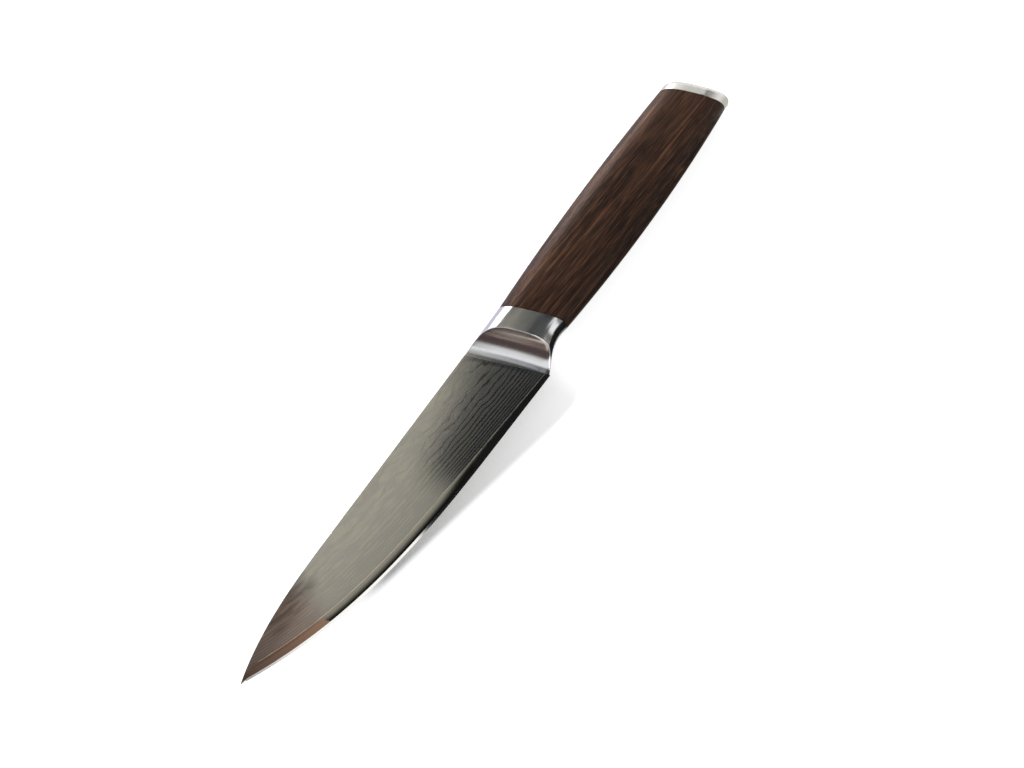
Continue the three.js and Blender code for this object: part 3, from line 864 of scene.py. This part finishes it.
def makeFloor():
    reach = studio["floorReach"]
    floor = flatPiece("floor", [(-reach, -reach, 0), (reach, -reach, 0), (reach, reach, 0), (-reach, reach, 0)])
    tree = coverSheet(floor, "pale_floor")
    tone = studio["floorColour"]
    matt = put(tree, "ShaderNodeBsdfDiffuse", {"Color": (tone, tone, tone, 1)})
    x, y = knifePlace(tree)[:2]
    # Painted shadow: the key lamp casts the real shadow; the camera's glow is lower only inside this slanted region
    # along the blade's edge side, so the shadow shows deeper there and is washed out elsewhere
    outer, inner, slant = studio["shadowEnd"]
    fromSpine = calc(tree, "MULTIPLY_ADD", x, slant, y)
    shadow = times(tree, ramp(tree, x, *studio["shadowStart"]), ramp(tree, y, *studio["shadowSide"]),
                   ramp(tree, fromSpine, outer, inner), ramp(tree, x, *studio["shadowTip"]))
    value, fall, where = studio["paintedShadowGlow"]
    paintedShadowStrength = calc(tree, "MULTIPLY_ADD", x, fall, value - fall * where)
    strength = put(tree, "ShaderNodeMix", {0: shadow, 2: studio["tableGlow"], 3: paintedShadowStrength}).outputs[0]
    seen = put(tree, "ShaderNodeLightPath").outputs["Is Camera Ray"]
    glow = put(tree, "ShaderNodeEmission", {"Strength": times(tree, seen, strength)})
    total = put(tree, "ShaderNodeAddShader", {0: matt.outputs[0], 1: glow.outputs[0]})
    put(tree, "ShaderNodeOutputMaterial", {"Surface": total.outputs[0]})


def onlyReflected(sheet):  # a studio sheet that shows only in reflections
    sheet.visible_camera = False
    sheet.visible_diffuse = False
    sheet.visible_shadow = False
    sheet.visible_transmission = False
    sheet.visible_volume_scatter = False


panel = {  # pairs are a range, or a place and how soft the border is there
    "height": 300.0,
    "alongX": (-205.0, 420.0),
    "alongY": (-475.0, 420.0),
    "tone": (0.595, 0.567, 0.484),
    "toneFall": (-46.0, -22.0, 1.0, 0.76),  # it darkens between these two heights, to this share
    "dusk": (-68.0, -22.0, 0.4, 1.0),  # and towards the handle, along x
    "gripEnd": (-128.0, -112.0),  # darker over the wood, to this share
    "gripTone": 0.2,
    "blue": (0.40, 0.46, 0.52),  # pale side past the dark patch
    "white": (0.94, 0.945, 0.955),
    "blueLine": (-13.0, 5.0),  # the pale side starts here along y, with its softness
    "paleStart": (140.0, 170.0),  # and at any height from here on along x
    "whiteRange": (5.0, 100.0),  # it turns from blue to white
    "copper": (0.36, 0.235, 0.175),  # past the tip, and its share left further out
    "copperFade": (90.0, 120.0, 1.0, 0.4),
    "copperStart": (85.0, 3.0),
    "copperLow": (-66.0, 6.0),
    "copperHigh": (-38.0, -5.0),
    "copperEnd": (165.0, 140.0),
    "dun": (0.36, 0.315, 0.29),  # beside it
    "dunStart": (81.0, 95.0),
    "dunSide": (-8.0, -20.0),
    "shade": (0.020, 0.021, 0.022),  # the dark patch
    "shadeEnd": (14.0, -2.0),  # it ends here along x
    "shadeLine": (-43.5, 0.17, -41.0, 0.006),  # its border: height, slope, where it has that height, and bend
    "shadeSoft": 5.5,
    "flank": (0.075, 0.082, 0.080),  # its end over the bolster
    "flankEnd": (-71.0, -63.0),
    "stripLow": (12.0, 5.0),  # a dark strip past it, along y
    "stripHigh": (165.0, -5.0),
    "stripEnd": (80.0, -8.0),  # and along x
    "glare": (2.3, 2.3, 2.35),  # past the edge side
    "side": (0.66, 0.70, 0.72),  # the same, towards the handle
    "sideRange": (-40.0, 0.0),
    "beyond": (255.0, 12.0),  # where it starts along y
    "glareStart": (100.0, 108.0),  # the same, past the next value along x
    "glareSide": (40.0, 5.0),
    "frame": (-425.0, -10.0),  # dark frame at the spine side
    "end": (0.074, 0.048, 0.047),  # far past the tip
    "endStart": (190.0, 285.0),
    "corner": (0.19, 0.19, 0.18),  # past the bolster's spine corner
    "cornerStart": (132.0, 142.0),
    "cornerLine": (7.5, 0.385, 89.0),  # its border: height, slope, and where it has that height
    "cornerSoft": (5.0, -1.0),
}
black = (0.0, 0.0, 0.0)


def makePanel():  # overhead sheet that the steel mirrors: warm grey with a dark patch
    (x0, x1), (y0, y1), z = panel["alongX"], panel["alongY"], panel["height"]
    sheet = flatPiece("overhead_panel", toRow([(x0, y0, z), (x0, y1, z), (x1, y1, z), (x1, y0, z)]).tolist())
    onlyReflected(sheet)
    tree = coverSheet(sheet, "overhead_panel")
    x, y = knifePlace(tree)[:2]
    dusk = times(tree, ramp(tree, x, *panel["dusk"]), ramp(tree, y, *panel["toneFall"]),
                 ramp(tree, x, *panel["gripEnd"], panel["gripTone"], 1.0))
    tone = blendColour(tree, dusk, black, panel["tone"])
    pale = calc(tree, "MAXIMUM", border(tree, y, *panel["blueLine"]), ramp(tree, x, *panel["paleStart"]))
    paleTone = blendColour(tree, ramp(tree, x, *panel["whiteRange"]), panel["blue"], panel["white"])
    colour = blendColour(tree, pale, tone, paleTone)
    copperEnd = ramp(tree, x, *panel["copperEnd"])
    dun = times(tree, ramp(tree, x, *panel["dunStart"]), ramp(tree, y, *panel["dunSide"]), copperEnd)
    colour = blendColour(tree, dun, colour, panel["dun"])
    copper = times(tree, border(tree, x, *panel["copperStart"]), border(tree, y, *panel["copperLow"]),
                   border(tree, y, *panel["copperHigh"]), copperEnd)
    copperTone = blendColour(tree, ramp(tree, x, *panel["copperFade"]), black, panel["copper"])
    colour = blendColour(tree, copper, colour, copperTone)
    height, slope, where, bend = panel["shadeLine"]
    past = calc(tree, "SUBTRACT", x, where)
    before = calc(tree, "MINIMUM", past, 0.0)
    line = calc(tree, "MULTIPLY_ADD", past, slope, height)
    line = calc(tree, "SUBTRACT", line, times(tree, before, before, bend))
    shade = border(tree, calc(tree, "SUBTRACT", y, line), 0.0, panel["shadeSoft"])
    shade = times(tree, shade, ramp(tree, x, *panel["shadeEnd"]))
    strip = times(tree, border(tree, y, *panel["stripLow"]), border(tree, y, *panel["stripHigh"]),
                  border(tree, x, *panel["stripEnd"]))
    shadeTone = blendColour(tree, ramp(tree, x, *panel["flankEnd"]), panel["flank"], panel["shade"])
    colour = blendColour(tree, calc(tree, "MAXIMUM", shade, strip), colour, shadeTone)
    glare = times(tree, ramp(tree, y, *panel["glareStart"]), border(tree, x, *panel["glareSide"]))
    beyond = calc(tree, "MAXIMUM", border(tree, y, *panel["beyond"]), glare)
    beyondTone = blendColour(tree, ramp(tree, x, *panel["sideRange"]), panel["side"], panel["glare"])
    colour = blendColour(tree, times(tree, beyond, ramp(tree, x, *panel["gripEnd"])), colour, beyondTone)
    colour = blendColour(tree, border(tree, y, *panel["frame"]), colour, panel["shade"])
    colour = blendColour(tree, ramp(tree, x, *panel["endStart"]), colour, panel["end"])
    height, slope, where = panel["cornerLine"]
    line = calc(tree, "MULTIPLY_ADD", x, slope, height - slope * where)
    corner = times(tree, ramp(tree, calc(tree, "SUBTRACT", y, line), *panel["cornerSoft"]),
                   ramp(tree, x, *panel["cornerStart"]))
    colour = blendColour(tree, corner, colour, panel["corner"])
    light = put(tree, "ShaderNodeEmission", {"Color": colour, "Strength": 1.0})
    put(tree, "ShaderNodeOutputMaterial", {"Surface": light.outputs[0]})


cards = {  # sheets that only the steel mirrors, and their tones
    "tip": ([(280, -300, -7), (280, 300, -7), (280, 300, 290), (280, -300, 290)], (0.074, 0.048, 0.047)),
    "belly": ([(-92, 12, -6.95), (330, 12, -6.95), (330, 260, -6.95), (-92, 260, -6.95)], (0.012, 0.011, 0.011)),
    "table": ([(36, 12, -6.9), (57, 12, -6.9), (330, 102, -6.9), (330, 260, -6.9), (36, 260, -6.9)],
              (0.76, 0.655, 0.56)),
    "side": ([(-60, 430, -7), (330, 430, -7), (330, 430, 300), (-60, 430, 300)], (0.20, 0.22, 0.23)),
    "spine": ([(-25, -75, -6.9), (30, -75, -6.9), (30, -12, -6.9), (-25, -12, -6.9)], (0.66, 0.63, 0.75)),
    "butt": ([(-330, 12, -6.9), (-92, 12, -6.9), (-92, 260, -6.9), (-330, 260, -6.9)], (0.60, 0.63, 0.56)),
    "grip": ([(-196, -300, -7), (-107, -300, -7), (-107, -300, 185), (-196, -300, 185)], (9.0, 9.0, 9.2)),
    "gripFront": ([(-107, -300, -7), (-55, -300, -7), (-55, -300, 185), (-107, -300, 185)], (2.2, 2.2, 2.25)),
    "gripSide": ([(-205, 300, -7), (-140, 300, -7), (-140, 300, 250), (-205, 300, 250)], (0.10, 0.08, 0.075)),
    "gripTop": ([(-238, -10, 300), (-205.1, -10, 300), (-205.1, 420, 300), (-238, 420, 300)], (0.06, 0.05, 0.045)),
}
tipCard = {"footTop": (118.0, 96.0), "footStart": (91.0, 96.0)}  # past the edge's side its foot has the table's tone
ribbons = {  # sheets above the edge that only the steel mirrors, giving the bare band its dark and copper reflections: from and to along x, tones at both ends, and where it darkens
    "edge": {"alongX": (46.0, 109.5), "tones": ((0.014, 0.014, 0.013), (0.014, 0.014, 0.013)), "dark": (-5.5, -1.5)},
    "point": {"alongX": (109.6, 139.0), "tones": ((0.60, 0.36, 0.26), (0.14, 0.095, 0.085)), "dark": (-5.6, -4.4)},
}
ribbonShape = {
    "height": 12.0,
    "across": (-7.0, 3.2),  # its sides are this far from the edge's line
    "softSide": 0.6,
    "columns": 32,
}


def newCard(name, sheet, colour, share=None):  # glowing material that lets rays through where the share is low
    onlyReflected(sheet)
    tree = coverSheet(sheet, name)
    tone = colour(tree) if callable(colour) else (*colour, 1)
    surface = put(tree, "ShaderNodeEmission", {"Color": tone, "Strength": 1.0}).outputs[0]
    if share is not None:
        clear = put(tree, "ShaderNodeBsdfTransparent")
        surface = put(tree, "ShaderNodeMixShader", {0: share(tree), 1: clear.outputs[0], 2: surface}).outputs[0]
    put(tree, "ShaderNodeOutputMaterial", {"Surface": surface})


def makeCards():
    def twoTone(tree):
        y, z = knifePlace(tree)[1:]
        foot = times(tree, ramp(tree, z, *tipCard["footTop"]), ramp(tree, y, *tipCard["footStart"]))
        return blendColour(tree, foot, cards["tip"][1], cards["table"][1])

    for name, (corners, tone) in cards.items():
        sheet = flatPiece("card_" + name, toRow(corners).tolist())
        newCard("card_" + name, sheet, twoTone if name == "tip" else tone)


# Ribbon: its two long sides follow the edge's line; its map gives the share along it and the distance from the edge
def makeRibbon(name, look):
    x = np.linspace(*look["alongX"], ribbonShape["columns"])
    z = np.full_like(x, ribbonShape["height"])
    low, high = ribbonShape["across"]
    near, far = (np.stack([x, edgeAt(x) + distance, z], -1) for distance in (low, high))
    count = len(x)
    index = np.arange(count - 1)
    quads = np.stack([index, index + 1, index + 1 + count, index + count], -1)
    mesh = bpy.data.meshes.new("card_" + name)
    mesh.from_pydata(toRow(np.vstack([near, far])).tolist(), [], quads.tolist())
    corner = np.empty(len(mesh.loops), int)
    mesh.loops.foreach_get("vertex_index", corner)
    spread = np.stack([corner % count / (count - 1), np.where(corner < count, low, high)], -1)
    mesh.uv_layers.new(name="ribbon").data.foreach_set("uv", spread.ravel())
    ribbon = bpy.data.objects.new("card_" + name, mesh)
    scene.collection.objects.link(ribbon)

    def place(tree):
        source = put(tree, "ShaderNodeUVMap", uv_map="ribbon").outputs[0]
        return put(tree, "ShaderNodeSeparateXYZ", {0: source}).outputs

    def tone(tree):
        return blendColour(tree, place(tree)[0], *look["tones"])

    def share(tree):
        distance = place(tree)[1]
        side = ramp(tree, distance, high, high - ribbonShape["softSide"])
        return times(tree, ramp(tree, distance, *look["dark"]), side)

    newCard("card_" + name, ribbon, tone, share)


def makeLamp(name, power, size, place):  # looks at the origin, and isn't mirrored
    light = bpy.data.lights.new(name, "AREA")
    light.energy = power
    light.shape = "SQUARE"
    light.size = size
    lamp = bpy.data.objects.new(name, light)
    lamp.location = place
    lamp.rotation_euler = (-Vector(place)).to_track_quat("-Z", "Y").to_euler()
    lamp.visible_glossy = False
    scene.collection.objects.link(lamp)


def makeLamps():
    lift = math.radians(studio["keyElevation"])
    run = studio["keyDistance"] * math.cos(lift)
    heading = studio["keyHeading"]
    place = (heading[0] * run, heading[1] * run, studio["keyDistance"] * math.sin(lift))
    makeLamp("key", studio["keyPower"], studio["keySize"], place)
    makeLamp("fill", studio["fillPower"], studio["fillSize"], studio["fillPlace"])


view = {
    "place": (162.692, 105.903, 579.243),
    "target": (20.81, 6.32, 0.0),
    "lens": 70.846,
    "sensor": 36,
    "clipStart": 0.01,
}


def makeCamera():
    data = bpy.data.cameras.new("camera")
    data.sensor_fit = "HORIZONTAL"
    data.sensor_width = view["sensor"]
    data.lens = view["lens"]
    data.clip_start = view["clipStart"]
    camera = bpy.data.objects.new("camera", data)
    place, target = Vector(toRow(view["place"])), Vector(toRow(view["target"]))
    camera.location = place
    camera.rotation_euler = (target - place).to_track_quat("-Z", "Y").to_euler()
    scene.collection.objects.link(camera)
    scene.camera = camera


makeWorld()
makeFloor()
makePanel()
makeCards()
for name, look in ribbons.items():
    makeRibbon(name, look)
makeLamps()
makeCamera()
print("studio made")
